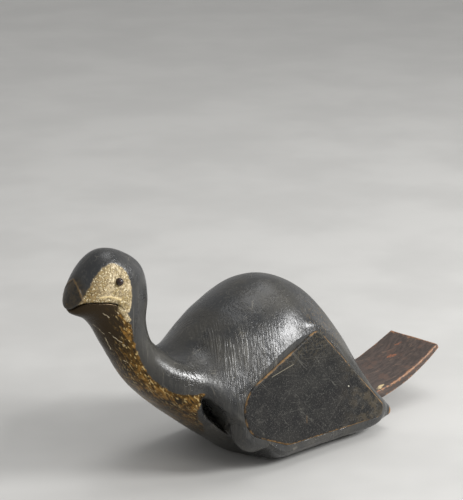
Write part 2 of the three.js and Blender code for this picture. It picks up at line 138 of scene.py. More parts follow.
# Floor and light, with powers in watts
FLOOR_SIZE = 30000
WORLD_LIGHT = 0.5
BIRD_MIDDLE = (40, 0, 60)
SOFTBOXES = {
    "key": {"spot": (-620, 1000, 770), "width": 440, "height": 420, "power": 18},
    "side": {"spot": (260, 1050, 940), "width": 600, "height": 600, "power": 3},
    "top": {"spot": (-450, 0, 1450), "width": 900, "height": 900, "power": 6},
    "rear": {"spot": (-1100, 100, 330), "width": 800, "height": 800, "power": 1, "aim": (0, 0, 60)},
}


# Shapes in numbers
def along(values, station):
    """Smooth value or point at a station number that may lie between two stations."""
    values = np.asarray(values, float)
    station = np.asarray(station, float)
    first = np.clip(np.floor(station).astype(int), 0, len(values) - 2)
    t = (station - first).reshape(station.shape + (1,) * (values.ndim - 1))
    before, low, high, after = (values[np.clip(first + k, 0, len(values) - 1)] for k in (-1, 0, 1, 2))
    leave = (high - before) / 2
    arrive = (after - low) / 2
    cubic = 2 * low - 2 * high + leave + arrive
    square = 3 * high - 3 * low - 2 * leave - arrive
    return ((cubic * t + square) * t + leave) * t + low


def smoothstep(value, low, high):
    t = np.clip((value - low) / (high - low), 0, 1)
    return t * t * (3 - 2 * t)


def bell(value):
    return np.exp(-value ** 2)


def body_point(share, rise):
    z = rise * (BODY_HEIGHT + KEEL_TRIM) - KEEL_TRIM
    return BODY_REAR_X + share * BODY_LENGTH, z


def body_half_width(station, share):
    sections = [SEAM_SECTION, *BODY_SECTIONS]
    names = ("waist", "full", "bilge")
    waist, full, bilge = (along([s[name] for s in sections], station) for name in names)
    half = along([SEAM_WIDTH / 2, *(s["half"] * BODY_WIDTH / 2 for s in BODY_SECTIONS)], station)
    rise = np.clip((share - waist) / (1 - waist), 0, 1)
    fall = np.clip((waist - share) / waist, 0, 1)
    above = np.sqrt(1 - rise ** full)
    below = (1 - fall ** bilge) ** (1 / KEEL_POWER)
    return half * np.where(share >= waist, above, below)


def neck_end(section, end):
    tilt = math.radians(section["tilt"])
    reach = end * section["depth"] / 2
    x = NAPE[0] + section["forward"] + reach * math.cos(tilt)
    return x, NAPE[1] + section["rise"] + reach * math.sin(tilt)


def head_point(share, rise):
    x = NAPE[0] + HEAD_BACK_FORWARD + share * HEAD_LENGTH
    return x, NAPE[1] + CHIN_RISE + rise * HEAD_HEIGHT


def neck_values(name, head):
    """Values from the seam to the beak; the seam has the first section's."""
    return [NECK_SECTIONS[0][name], *(s[name] for s in NECK_SECTIONS), *head]


CROWN_LINE = [NAPE, *(body_point(*s["crown"]) for s in BODY_SECTIONS)]
KEEL_LINE = [BREAST_FOOT, *(body_point(*s["keel"]) for s in BODY_SECTIONS)]
THROAT_LINE = [
    BREAST_FOOT,
    *(neck_end(s, -1) for s in NECK_SECTIONS),
    *(head_point(*p) for p in THROAT_POINTS),
]
NAPE_LINE = [
    NAPE,
    *(neck_end(s, 1) for s in NECK_SECTIONS),
    *(head_point(*p) for p in CROWN_POINTS),
]
NECK_WIDTHS = neck_values("width", [w * HEAD_WIDTH for w in HEAD_WIDTHS])
NECK_WAISTS = neck_values("waist", [HEAD_WAIST] * len(HEAD_WIDTHS))
NECK_FULLNESS = neck_values("full", [HEAD_FULLNESS] * len(HEAD_WIDTHS))


def neck_half_width(station, share):
    """Reach of the neck to each side; at the seam it spreads into the shoulders over a hollow."""
    waist, full = along(NECK_WAISTS, station), along(NECK_FULLNESS, station)
    rise = np.clip((share - waist) / (1 - waist), 0, 1)
    fall = np.clip((waist - share) / waist, 0, 1)
    plain = along(NECK_WIDTHS, station) / 2 * np.sqrt(1 - np.where(share >= waist, rise ** full, fall ** 2))
    closing = 1 - smoothstep(share, HOLLOW["easing"], HOLLOW["to"])
    hollow = HOLLOW["loss"] * smoothstep(share, HOLLOW["from"], HOLLOW["full"]) * closing
    hollow = hollow * (1 - smoothstep(station, *HOLLOW["stations"]))
    spread = body_half_width(np.zeros_like(station), share)
    return (spread + (plain - spread) * smoothstep(station, 0, FLARE_STATIONS)) * (1 - hollow)


def neck_spot(station, share):
    """Point on the left side of the neck or head."""
    station = np.array(station, float)
    low, high = along(THROAT_LINE, station), along(NAPE_LINE, station)
    x, z = low + (high - low) * share
    return np.array([x, float(neck_half_width(station, share)), z])


def section_rings(stations, low_line, high_line, half_width, steps):
    """Rings of points, each standing on the line from its low to its high end."""
    share = (1 - np.cos(np.pi * np.arange(steps + 1) / steps)) / 2
    station, share = np.meshgrid(stations, share, indexing="ij")
    low, high = along(low_line, station), along(high_line, station)
    spot = low + (high - low) * share[..., None]
    reach = half_width(station, share)
    reach[:, [0, -1]] = 0
    left = np.stack([spot[..., 0], reach, spot[..., 1]], -1)
    right = left[:, -2:0:-1] * (1, -1, 1)
    return np.concatenate([left, right], 1)


# Lines and outlines
CURVE_STEPS = 6
ARC_POINTS = 200


def curve(points, closed=False):
    """Many points on a smooth line through a few."""
    points = np.array(points, float)
    if closed:
        ring = np.concatenate([points[-1:], points, points[:2]])
        return along(ring, 1 + np.arange(CURVE_STEPS * len(points)) / CURVE_STEPS)
    return along(points, np.arange(CURVE_STEPS * (len(points) - 1) + 1) / CURVE_STEPS)


def line_distance(points, line):
    """Distance of points from a line of points."""
    nearest = np.full(len(points), np.inf)
    for start, end in zip(line[:-1], line[1:]):
        run = np.subtract(end, start)
        share = np.clip((points - start) @ run / (run @ run), 0, 1)
        nearest = np.minimum(nearest, np.linalg.norm(points - start - share[:, None] * run, axis=1))
    return nearest


def depth_inside(points, outline):
    """Distance of flat points from a closed outline, negative outside it."""
    inside = np.zeros(len(points), bool)
    x, z = points.T
    for (x0, z0), (x1, z1) in zip(outline, np.roll(outline, -1, 0)):
        if z0 != z1:
            crosses = (z0 > z) != (z1 > z)
            inside ^= crosses & (x < x0 + (z - z0) * (x1 - x0) / (z1 - z0))
    distance = line_distance(points, [*outline, outline[0]])
    return np.where(inside, distance, -distance)


def rounded_outline(circles, count):
    """Even points round corner circles that straight edges join, with the way that each point faces."""
    circles = np.array(circles, float)
    nxt = np.roll(circles, -1, 0)
    run = nxt[:, :2] - circles[:, :2]
    lean = np.arcsin((circles[:, 2] - nxt[:, 2]) / np.hypot(*run.T))
    facing = np.arctan2(run[:, 1], run[:, 0]) - math.pi / 2 + lean
    arcs = []
    for i, (x, y, radius) in enumerate(circles):
        start, end = facing[i - 1], facing[i]
        while end < start:
            end += 2 * math.pi
        angle = np.linspace(start, end, ARC_POINTS)
        ways = np.stack([np.cos(angle), np.sin(angle)], 1)
        arcs.append(np.hstack([(x, y) + radius * ways, ways]))
    closed = np.concatenate([*arcs, arcs[0][:1]])
    run = np.concatenate([[0], np.cumsum(np.hypot(*np.diff(closed[:, :2], axis=0).T))])
    even = np.linspace(0, run[-1], count, endpoint=False)
    rows = np.stack([np.interp(even, run, column) for column in closed.T], 1)
    points, ways = rows[:, :2], rows[:, 2:]
    return points, ways / np.hypot(*ways.T)[:, None]


# Meshes
def skin(rings):
    """Faces of a closed skin over rings of points, with a flat face across each end."""
    count, size = rings.shape[:2]
    k, i = np.meshgrid(np.arange(count - 1), np.arange(size), indexing="ij")
    j = (i + 1) % size
    quads = np.stack([k * size + i, k * size + j, (k + 1) * size + j, (k + 1) * size + i], -1)
    first = list(range(size))[::-1]
    last = list(range((count - 1) * size, count * size))
    return [*quads.reshape(-1, 4).tolist(), first, last]


def put(name, data):
    """Puts a mesh, lamp or camera into the scene."""
    thing = bpy.data.objects.new(name, data)
    bpy.context.scene.collection.objects.link(thing)
    return thing


def form(name, vertices, faces):
    mesh = bpy.data.meshes.new(name)
    mesh.from_pydata((np.asarray(vertices) * MM).tolist(), [], faces)
    mesh.validate()
    mesh.polygons.foreach_set("use_smooth", [True] * len(mesh.polygons))
    return put(name, mesh)


def numbers_of(items, name, size, kind):
    """A row of numbers for each of a mesh's points, normals or edges."""
    flat = np.empty(len(items) * size, kind)
    items.foreach_get(name, flat)
    return flat.reshape(-1, size)


def points_of(mesh):
    return numbers_of(mesh.vertices, "co", 3, np.float32).astype(float) / MM


def normals_of(mesh):
    return numbers_of(mesh.vertex_normals, "vector", 3, np.float32).astype(float)


def edges_of(mesh):
    return numbers_of(mesh.edges, "vertices", 2, np.int32)


def move_points(mesh, points):
    mesh.vertices.foreach_set("co", (points * MM).astype(np.float32).ravel())
    mesh.update()


def note(mesh, name, values):
    """Keeps a value for each point of a mesh, for its material."""
    values = np.broadcast_to(values, len(mesh.vertices)).astype(np.float32)
    mesh.attributes.new(name, "FLOAT", "POINT").data.foreach_set("value", values)


def neighbour_means(values, edges):
    """Mean of each point's neighbours."""
    a, b = edges.T
    count = len(values)
    degree = np.maximum(np.bincount(a, minlength=count) + np.bincount(b, minlength=count), 1)
    columns = values.reshape(count, -1).T
    sums = [np.bincount(a, column[b], count) + np.bincount(b, column[a], count) for column in columns]
    return (np.array(sums) / degree).T.reshape(values.shape)


def relaxed(points, edges, share, strength, rounds):
    """Points drawn towards the mean of their neighbours, by each point's share of a strength."""
    weight = np.broadcast_to(strength * share, len(points))[:, None]
    for _ in range(rounds):
        points = points + (neighbour_means(points, edges) - points) * weight
    return points


LATTICE = 32


def unevenness(points, size, height, seed):
    """Smooth random heights, up or down by at most a height, that vary over a size."""
    lattice = np.random.default_rng(seed).uniform(-1, 1, (LATTICE,) * 3)
    place = points / size
    cell = np.floor(place).astype(int)
    part = smoothstep(place - cell, 0, 1)
    heights = np.zeros(len(points))
    for corner in np.ndindex(2, 2, 2):
        weight = np.prod(np.where(corner, part, 1 - part), axis=1)
        i, j, k = ((cell + corner) % LATTICE).T
        heights += weight * lattice[i, j, k]
    return height * heights


# Carving: the body and neck become one skin, which is smoothed at the seam and cut apart there again
VOXEL = 0.8
BODY_RINGS = 120
BODY_STEPS = 72
NECK_RINGS = 220
NECK_STEPS = 56
FLANK_RINGS = 40
FLANK_STEPS = 64
SEAM_OVERLAP = 6
CUT_TOLERANCE = 0.0001

# Smoothing as strengths and rounds, and its zones by height and by distance from the seam
EVEN_OUT = (0.5, 6)
CREASE_EASING = (0.8, 20)
VALLEY_EASING = (0.9, 150)
SHOULDER_LEVELS = (46, 60)
NECK_LEVELS = (82, 95)
CREASE_REACH = (6, 22)
VALLEY_REAR = (-34, -16)
VALLEY_FRONT = (-4, 8)
VALLEY_SIDE = (8, 17)

# Swell of each shoulder, beside the nape
SHOULDER = (99.5, 19, 72)
SHOULDER_REACH = 11
SHOULDER_HEIGHT = 4

# Unevenness of hand tools, and rubbing of the edges between two radii, less of it in the pockets
HEWN = [{"size": 19, "height": 0.32, "seed": 0}, {"size": 7, "height": 0.13, "seed": 1}]
WORN_RADII = (9, 3)
GRID_NEIGHBOURS = 4
BEND_ROUNDS = 10
POCKET_FRONT = (-30, -10)
POCKET_TOP = (55, 66)
POCKET_WEAR = 0.2

# Seats of the wing boards
WING_RIM_POINTS = 420
WING_SEAT_LIP = 0.8
WING_SEAT_DEPTH = 2.5
WING_PROUD = 1
WING_EASE = 0.2
WING_FALL = 0.3
WING_LIFT_REACH = (3, 9)
WING_LIFT_DEPTHS = (-10, -4)
BATCH = 4000


def seam_normal():
    run = np.subtract(NAPE, BREAST_FOOT)
    run = run / np.hypot(*run)
    return np.array([run[1], 0, -run[0]])


def seam_distance(points):
    return (points - np.array([NAPE[0], 0, NAPE[1]])) @ seam_normal()


def flank_swell(side):
    """Rings of points round the swell of one flank."""
    polar = np.linspace(0, math.pi, FLANK_RINGS + 2)[1:-1]
    turn = np.linspace(0, 2 * math.pi, FLANK_STEPS, endpoint=False)
    polar, turn = np.meshgrid(polar, turn, indexing="ij")
    ball = np.stack([np.sin(polar) * np.cos(turn), np.sin(polar) * np.sin(turn), -np.cos(polar)], -1)
    return np.array(FLANK_MIDDLE) * (1, side, 1) + ball * np.array(FLANK_SIZES[side]) / 2


def carved_block():
    stations = np.linspace(len(BODY_SECTIONS), 0, BODY_RINGS)
    body = section_rings(stations, KEEL_LINE, CROWN_LINE, body_half_width, BODY_STEPS)
    stations = np.linspace(0, NECK_STATIONS, NECK_RINGS)
    neck = section_rings(stations, THROAT_LINE, NAPE_LINE, neck_half_width, NECK_STEPS)
    overlap = neck[:1] - seam_normal() * SEAM_OVERLAP
    neck = np.concatenate([overlap, neck])
    vertices, faces, count = [], [], 0
    for rings in (body, neck, flank_swell(1), flank_swell(-1)):
        vertices.append(rings.reshape(-1, 3))
        faces += [[v + count for v in face] for face in skin(rings)]
        count += len(vertices[-1])
    block = form("block", np.concatenate(vertices), faces)
    remesh = block.modifiers.new("voxels", "REMESH")
    remesh.mode = "VOXEL"
    remesh.voxel_size = VOXEL * MM
    carved = bpy.data.meshes.new_from_object(block.evaluated_get(bpy.context.evaluated_depsgraph_get()))
    bpy.data.objects.remove(block)
    return carved


def smooth_block(mesh):
    """Evens out the skin, least in the pockets beside the breast, and rounds and swells the shoulders."""
    points, edges = points_of(mesh), edges_of(mesh)
    points = relaxed(points, edges, 1, *EVEN_OUT)
    distance = seam_distance(points)
    level = smoothstep(points[:, 2], *SHOULDER_LEVELS) * (1 - smoothstep(points[:, 2], *NECK_LEVELS))
    crease = level * (1 - smoothstep(np.abs(distance), *CREASE_REACH))
    points = relaxed(points, edges, crease, *CREASE_EASING)
    valley = smoothstep(distance, *VALLEY_REAR) * (1 - smoothstep(distance, *VALLEY_FRONT))
    valley = valley * level * smoothstep(np.abs(points[:, 1]), *VALLEY_SIDE)
    points = relaxed(points, edges, valley, *VALLEY_EASING)
    move_points(mesh, points)
    swell = bell(np.linalg.norm(np.abs(points) - SHOULDER, axis=1) / SHOULDER_REACH)
    move_points(mesh, points + normals_of(mesh) * (SHOULDER_HEIGHT * swell)[:, None])


def hew_block(mesh):
    """Leaves the unevenness of hand tools, cuts the wing boards' seats and flattens the resting face."""
    points, normals = points_of(mesh), normals_of(mesh)
    note(mesh, "wear", edge_wear(points, normals, edges_of(mesh)))
    for marks in HEWN:
        points = points + normals * unevenness(points, **marks)[:, None]
    for side in (1, -1):
        points = seat_wing(points, side)
    points[:, 2] = np.maximum(points[:, 2], 0)
    move_points(mesh, points)


def edge_wear(points, normals, edges):
    """How much rubbed each point is, from 0 to 1: the sharper the edge that it is on, the more."""
    bulge = ((points - neighbour_means(points, edges)) * normals).sum(1)
    bend = GRID_NEIGHBOURS * bulge / VOXEL ** 2
    for _ in range(BEND_ROUNDS):
        bend = neighbour_means(bend, edges)
    pocket = smoothstep(seam_distance(points), *POCKET_FRONT) * (1 - smoothstep(points[:, 2], *POCKET_TOP))
    return smoothstep(bend, 1 / WORN_RADII[0], 1 / WORN_RADII[1]) * (1 - (1 - POCKET_WEAR) * pocket)


def wing_place(points, side):
    """How far points lie outside the wing outline, inwards negative, and how far out of its plane."""
    middle, forward, up, out = wing_axes(side)
    flat = np.column_stack([(points - middle) @ forward, (points - middle) @ up])
    outline, facing = rounded_outline(WING_CIRCLES, WING_RIM_POINTS)
    outside = np.empty(len(points))
    for start in range(0, len(points), BATCH):
        some = flat[start:start + BATCH]
        nearest = np.argmin(((some[:, None] - outline[None]) ** 2).sum(-1), 1)
        outside[start:start + BATCH] = ((some - outline[nearest]) * facing[nearest]).sum(-1)
    return outside, (points - middle) @ out


def seat_wing(points, side):
    """Cuts the skin back under the wing board, and eases it down or lifts it to meet the board's rim."""
    out = wing_axes(side)[3]
    near = np.flatnonzero(points[:, 1] * side > 0)
    outside, height = wing_place(points[near], side)
    eased = np.maximum(outside, 0) * WING_EASE - WING_PROUD
    limit = np.where(outside < -WING_SEAT_LIP, -WING_SEAT_DEPTH, eased)
    cut = np.minimum(limit - height, 0)
    short = np.maximum(-WING_PROUD - WING_FALL * outside - height, 0) * (outside > -WING_SEAT_LIP)
    lift = short * (1 - smoothstep(outside, *WING_LIFT_REACH)) * smoothstep(height, *WING_LIFT_DEPTHS)
    points = points.copy()
    points[near] += (cut + lift)[:, None] * out
    return points


def in_neck(point):
    """Whether a point lies before the seam, or before the nape where it is higher than that."""
    if point[2] > NAPE[1]:
        return point[0] > NAPE[0]
    return seam_distance(np.array(point)) > 0


def score_seam(block):
    """Cuts the skin along the seam, and up from the nape, so that no face lies on both sides of it."""
    nape = Vector((NAPE[0], 0, NAPE[1])) * MM
    for normal, above in ((Vector(seam_normal()), False), (Vector((1, 0, 0)), True)):
        faces = [f for f in block.faces if (f.calc_center_median().z > nape.z) == above]
        edges = {e for f in faces for e in f.edges}
        verts = {v for f in faces for v in f.verts}
        whole = [*verts, *edges, *faces]
        bmesh.ops.bisect_plane(block, geom=whole, plane_co=nape, plane_no=normal, dist=CUT_TOLERANCE * MM)


def refine_head(block):
    """Splits the faces of the head, so that they are fine enough to carve."""
    back, foot = FACE_BACK * MM, FACE_FOOT * MM
    head = [edge for edge in block.edges if all(v.co.x > back and v.co.z > foot for v in edge.verts)]
    bmesh.ops.subdivide_edges(block, edges=head, cuts=1, use_grid_fill=True)


def part_of_block(name, carved, keep_neck):
    """The body or the neck as a piece, closed with a flat face at the seam."""
    cut = bmesh.new()
    cut.from_mesh(carved)
    score_seam(cut)
    other = [f for f in cut.faces if in_neck(f.calc_center_median() / MM) != keep_neck]
    bmesh.ops.delete(cut, geom=other, context="FACES")
    for face in cut.faces:
        face.smooth = True
    rim = [edge for edge in cut.edges if edge.is_boundary]
    cap = bmesh.ops.holes_fill(cut, edges=rim, sides=0)["faces"]
    for face in cap:
        face.smooth = False
    bmesh.ops.triangulate(cut, faces=cap)
    refine_head(cut)
    mesh = bpy.data.meshes.new(name)
    cut.to_mesh(mesh)
    cut.free()
    return put(name, mesh)


# Face: each line is cut in or stands out by a height, over a width
FACE_BACK = 134
FACE_FOOT = 107
MOUTH_WIDTH = 0.8
MOUTH_DEPTH = 1.3
MOUTH_REAR = (145, 150)
LIP_OVERHANG = 0.6
JAW_SET_BACK = 0.5
JAW_REACH = (0.6, 5)
LIP_WIDTH = 0.8
LIP_HEIGHT = 0.45
CORNER_WIDTH = 1.5
CORNER_HEIGHT = 0.5
RIDGE_WIDTH = 0.8
RIDGE_HEIGHT = 0.4
SOCKET_RADIUS = 2.9
SOCKET_WIDTH = 0.7
SOCKET_DEPTH = 0.6

# Eyes: rings from the shank to just short of the front, which a flat face closes
EYE_RINGS = 20
EYE_STEPS = 40
EYE_LAST_RING = 0.98


def carve_face(mesh):
    """Cuts the mouth, lips, beak ridges and eye sockets, and notes where the paints lie."""
    points, normals = points_of(mesh), normals_of(mesh)
    flat = points[:, [0, 2]]
    folded = np.abs(points)
    line = curve(MOUTH)
    mouth = line_distance(flat, line)
    over = flat[:, 1] > np.interp(flat[:, 0], *line[::-1].T)
    corner = line_distance(flat, curve(MOUTH_CORNER))
    ridge = line_distance(folded, curve(BEAK_RIDGE))
    socket = np.linalg.norm(folded - neck_spot(EYE_STATION, EYE_SHARE), axis=1)
    jaw = np.where(over, LIP_OVERHANG, -JAW_SET_BACK) * (1 - smoothstep(mouth, *JAW_REACH))
    relief = (jaw - MOUTH_DEPTH * bell(mouth / MOUTH_WIDTH)) * smoothstep(flat[:, 0], *MOUTH_REAR)
    lip = bell(line_distance(flat, curve(LIP)) / LIP_WIDTH)
    relief += LIP_HEIGHT * lip
    relief += CORNER_HEIGHT * bell(corner / CORNER_WIDTH)
    relief += RIDGE_HEIGHT * bell(ridge / RIDGE_WIDTH)
    relief -= SOCKET_DEPTH * bell((socket - SOCKET_RADIUS) / SOCKET_WIDTH)
    move_points(mesh, points + normals * relief[:, None])
    cheek = np.minimum(depth_inside(flat, curve(CHEEK, closed=True)), np.where(over, mouth, -mouth))
    note(mesh, "cheek", np.maximum(cheek, CORNER_WIDTH - corner))
    gilt = [*curve(GILT_EDGE), *BELOW_THE_BREAST, *line]
    note(mesh, "gilt", depth_inside(flat, gilt))
    note(mesh, "gilt_band", 1 - smoothstep(line_distance(flat, curve(GILT_EDGE)), *GILT_BAND))
    note(mesh, "ridge", bell(ridge / RIDGE_WIDTH))
    note(mesh, "lip", lip)


def eye_bead(name, side):
    """Round bead on a shank, which faces straight out of the head."""
    step = 0.02
    spot = neck_spot(EYE_STATION, EYE_SHARE)
    forward = neck_spot(EYE_STATION + step, EYE_SHARE) - neck_spot(EYE_STATION - step, EYE_SHARE)
    up = neck_spot(EYE_STATION, EYE_SHARE + step) - neck_spot(EYE_STATION, EYE_SHARE - step)
    out = np.cross(up, forward)
    flip = np.array([1, side, 1])
    out = out / np.linalg.norm(out) * flip
    across = np.cross(out, (0, 0, 1))
    across /= np.linalg.norm(across)
    rise = np.cross(out, across)
    shank, radius = EYE_SHANK_DIAMETER / 2, EYE_DIAMETER / 2
    neckline = math.acos(shank / radius)
    polar = np.linspace(-neckline, math.pi / 2 * EYE_LAST_RING, EYE_RINGS)
    profile = [(shank, -EYE_SHANK_LENGTH), *zip(radius * np.cos(polar), radius * np.sin(polar))]
    turn = np.linspace(0, 2 * math.pi, EYE_STEPS, endpoint=False)[:, None]
    rings = [spot * flip + out * h + r * (across * np.cos(turn) + rise * np.sin(turn)) for r, h in profile]
    rings = np.array(rings)
    return form(name, rings.reshape(-1, 3), skin(rings))


# Wing boards: rings round the rim, then over the face down to a small one in its middle
WING_RIM_RADIUS = 1.6
WING_RIM_STEPS = 7
WING_FACE_STEPS = 26
WING_LAST_RING = 0.02
WING_NICKS = {"size": 4, "height": 0.18, "seed": 5}
WING_DENTS = {"size": 9, "height": 0.12, "seed": 6}


def wing_axes(side):
    """Middle of the outer face, and its directions forward, up and out."""
    middle = np.array(WING_MIDDLE) * (1, side, 1)
    out = np.array([math.tan(math.radians(WING_TAPER)), side, math.tan(math.radians(WING_LEAN))])
    out /= np.linalg.norm(out)
    level = np.cross((0, 0, 1), out)
    level /= np.linalg.norm(level)
    return middle, -side * level, np.cross(out, level), out


def wing_board(name, side):
    """Board with a rounded and nicked rim and a dented face."""
    outline, facing = rounded_outline(WING_CIRCLES, WING_RIM_POINTS)
    middle, forward, up, out = wing_axes(side)
    round_the_rim = np.column_stack([outline, np.full(len(outline), side)])
    nicks = WING_NICKS["height"] + unevenness(round_the_rim, **WING_NICKS)
    rim = np.linspace(0, math.pi / 2, WING_RIM_STEPS)
    insets = [0, 0, *(WING_RIM_RADIUS * (1 - np.cos(rim)))]
    depths = [-WING_THICKNESS, -WING_THICKNESS / 2, *(WING_RIM_RADIUS * (np.sin(rim) - 1))]
    rings = [np.column_stack([outline - facing * (inset + nicks[:, None]), np.full(len(outline), depth)])
             for inset, depth in zip(insets, depths)]
    edge = rings[-1]
    centre = np.append(edge[:, :2].mean(0), 0)
    for share in np.linspace(1, WING_LAST_RING, WING_FACE_STEPS)[1:]:
        rings.append(centre + (edge - centre) * share)
    local = np.array(rings)
    face = local[len(insets):]
    face[..., 2] += unevenness(face.reshape(-1, 3), **WING_DENTS).reshape(face.shape[:2])
    if side < 0:
        local = local[:, ::-1]
    world = middle + local[..., :1] * forward + local[..., 1:2] * up + local[..., 2:] * out
    board = form(name, world.reshape(-1, 3), skin(world[:, ::-1]))
    inside = -wing_place(world.reshape(-1, 3), side)[0].reshape(world.shape[:2])
    inside[:2] -= WING_THICKNESS
    note(board.data, "rim", inside.ravel())
    return board


# Tail board
TAIL_RINGS = 120
TAIL_SIDE_STEPS = 6
TAIL_FACE_STEPS = 40
TAIL_ARC_STEPS = 5
TAIL_EDGE_RADIUS = 0.9
TAIL_WAVE = {"size": 11, "height": 0.25, "seed": 7}


def tail_board(name):
    """Board that tapers and bends up to its tip, with a straight tenon at its root."""
    root = np.array([BODY_REAR_X, TAIL_ROOT_Z])
    tip = root + (-TAIL_LENGTH, TAIL_RISE)
    bend = root + (-TAIL_LENGTH / 2, TAIL_BEND_RISE)
    t = np.linspace(0, 1, TAIL_RINGS)[:, None]
    spine = root * (1 - t) ** 2 + 2 * bend * t * (1 - t) + tip * t ** 2
    slope = 2 * (bend - root) * (1 - t) + 2 * (tip - bend) * t
    slope /= np.hypot(*slope.T)[:, None]
    spine = np.concatenate([[root + (TAIL_TENON, 0)], spine])
    slope = np.concatenate([slope[:1], slope])
    t = np.concatenate([[[0]], t])[:, 0]
    half_width = (TAIL_ROOT_WIDTH + (TAIL_TIP_WIDTH - TAIL_ROOT_WIDTH) * t) / 2
    half_depth = (TAIL_ROOT_THICKNESS + (TAIL_TIP_THICKNESS - TAIL_ROOT_THICKNESS) * t) / 2
    rings, edges = [], []
    for k, spot in enumerate(spine):
        across, up = board_section(half_width[k], half_depth[k]).T
        rings.append(np.column_stack([spot[0] + up * slope[k, 1], across, spot[1] - up * slope[k, 0]]))
        side_edge = np.hypot(half_width[k] - np.abs(across), half_depth[k] - np.abs(up))
        edges.append(np.minimum(side_edge, (1 - t[k]) * TAIL_LENGTH))
    rings = np.array(rings)
    board = form(name, rings.reshape(-1, 3), skin(rings))
    points, normals = points_of(board.data), normals_of(board.data)
    move_points(board.data, points + normals * unevenness(points, **TAIL_WAVE)[:, None])
    note(board.data, "edge", np.concatenate(edges))
    return board


def board_section(half_width, half_depth):
    """Ring of points round a rectangle with rounded edges."""
    r = min(TAIL_EDGE_RADIUS, half_depth)
    arcs = []
    for quarter, (sx, sy) in enumerate([(1, 1), (-1, 1), (-1, -1), (1, -1)]):
        angle = math.pi / 2 * (quarter + np.linspace(0, 1, TAIL_ARC_STEPS))
        middle = np.array([sx * (half_width - r), sy * (half_depth - r)])
        arcs.append(middle + r * np.stack([np.cos(angle), np.sin(angle)], 1))
    ring = []
    for quarter, arc in enumerate(arcs):
        steps = TAIL_SIDE_STEPS if quarter % 2 else TAIL_FACE_STEPS
        run = np.linspace(arc[-1], arcs[(quarter + 1) % 4][0], steps + 1)[1:-1]
        ring += [arc, run]
    return np.concatenate(ring)


# Finishes
def tone(red, green, blue):
    """Colour for a node, from its strengths on a screen from 0 to 255."""
    share = np.array([red, green, blue]) / 255
    light = np.where(share <= 0.04045, share / 12.92, ((share + 0.055) / 1.055) ** 2.4)
    return (*light.tolist(), 1.0)


